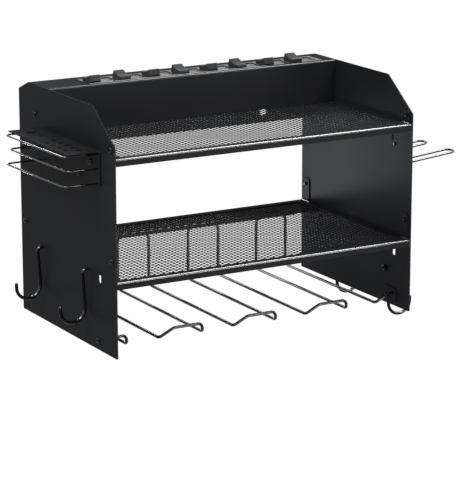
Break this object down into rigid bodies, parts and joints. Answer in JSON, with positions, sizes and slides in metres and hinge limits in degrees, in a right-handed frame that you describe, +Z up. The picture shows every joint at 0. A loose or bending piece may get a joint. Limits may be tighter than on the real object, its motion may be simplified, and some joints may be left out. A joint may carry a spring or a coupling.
{
  "type": "wall mounted power tool organizer",
  "caption": "Black steel wall organizer with two mesh shelves, a switched charging strip, a wire drill holder, J hooks and a hand tool rack.",
  "frame": {"origin": "on the wall plane, in the middle of the upper shelf's wall flange", "axes": "+Z up, +Y into the wall, +X to the right as one faces the organizer"},
  "size_m": [0.5735, 0.268, 0.3367],
  "materials": {
    "powder_coat": "satin black powder coat",
    "black_wire": "gloss black dip coat",
    "black_fastener": "black oxide",
    "socket_plastic": "polished black moulding",
    "rocker_plastic": "fine grained dark grey moulding",
    "brass": "rolled",
    "rubber": "matt"
  },
  "bodies": {
    "root": {"side_panel_left": "powder_coat", "side_panel_right": "powder_coat", "upper_shelf": "powder_coat", "lower_shelf": "powder_coat", "upper_shelf_mesh": "powder_coat", "lower_shelf_mesh": "powder_coat", "strip_housing": "powder_coat", "strip_base_cover": "powder_coat", "wire_lug_left": "powder_coat", "wire_lug_right": "powder_coat", "wire_clamp_bar": "powder_coat", "tool_rack_plate": "powder_coat", "side_holder_plate": "powder_coat", "drill_holder_wire": "black_wire", "hook_left_front": "black_wire", "hook_left_rear": "black_wire", "hook_right_front": "black_wire", "hook_right_rear": "black_wire", "rack_wire_1": "black_wire", "rack_wire_2": "black_wire", "rack_wire_3": "black_wire", "side_hairpin_front": "black_wire", "side_hairpin_rear": "black_wire", "panel_screw_left_upper_front": "black_fastener", "panel_screw_left_lower_front": "black_fastener", "panel_screw_left_holder": "black_fastener", "panel_screw_left_strip": "black_fastener", "panel_screw_left_lower_rear": "black_fastener", "panel_screw_right_upper_front": "black_fastener", "panel_screw_right_lower_front": "black_fastener", "panel_screw_right_holder": "black_fastener", "panel_screw_right_strip": "black_fastener", "panel_screw_right_lower_rear": "black_fastener", "clamp_screw_1": "black_fastener", "clamp_screw_2": "black_fastener", "rack_screw_1": "black_fastener", "rack_screw_2": "black_fastener", "rack_screw_3": "black_fastener", "side_holder_screw_1": "black_fastener", "side_holder_screw_2": "black_fastener", "hook_nut_left_front": "black_fastener", "hook_nut_left_rear": "black_fastener", "hook_nut_right_front": "black_fastener", "hook_nut_right_rear": "black_fastener", "socket_panel": "socket_plastic", "bus_bar_line": "brass", "bus_bar_earth": "brass", "bus_bar_neutral": "brass", "cord_gland": "rubber"},
    "rocker_1": {"rocker_1": "rocker_plastic"},
    "rocker_2": {"rocker_2": "rocker_plastic"},
    "rocker_3": {"rocker_3": "rocker_plastic"},
    "rocker_4": {"rocker_4": "rocker_plastic"},
    "rocker_5": {"rocker_5": "rocker_plastic"},
    "rocker_6": {"rocker_6": "rocker_plastic"},
    "rocker_7": {"rocker_7": "rocker_plastic"},
    "rocker_8": {"rocker_8": "rocker_plastic"}
  },
  "joints": [
    {"name": "rocker_1_tilt", "type": "hinge", "parent": "root", "child": "rocker_1", "pos_m": [-0.14199, -0.0635, 0.0741], "axis": [1, 0, 0], "range_deg": [0, 26]},
    {"name": "rocker_2_tilt", "type": "hinge", "parent": "root", "child": "rocker_2", "pos_m": [-0.09908, -0.0635, 0.0741], "axis": [1, 0, 0], "range_deg": [-26, 0]},
    {"name": "rocker_3_tilt", "type": "hinge", "parent": "root", "child": "rocker_3", "pos_m": [-0.05618, -0.0635, 0.0741], "axis": [1, 0, 0], "range_deg": [0, 26]},
    {"name": "rocker_4_tilt", "type": "hinge", "parent": "root", "child": "rocker_4", "pos_m": [-0.01328, -0.0635, 0.0741], "axis": [1, 0, 0], "range_deg": [-26, 0]},
    {"name": "rocker_5_tilt", "type": "hinge", "parent": "root", "child": "rocker_5", "pos_m": [0.02962, -0.0635, 0.0741], "axis": [1, 0, 0], "range_deg": [0, 26]},
    {"name": "rocker_6_tilt", "type": "hinge", "parent": "root", "child": "rocker_6", "pos_m": [0.07252, -0.0635, 0.0741], "axis": [1, 0, 0], "range_deg": [-26, 0]},
    {"name": "rocker_7_tilt", "type": "hinge", "parent": "root", "child": "rocker_7", "pos_m": [0.11542, -0.0635, 0.0741], "axis": [1, 0, 0], "range_deg": [0, 26]},
    {"name": "rocker_8_tilt", "type": "hinge", "parent": "root", "child": "rocker_8", "pos_m": [0.15832, -0.0635, 0.0741], "axis": [1, 0, 0], "range_deg": [-26, 0]}
  ]
}
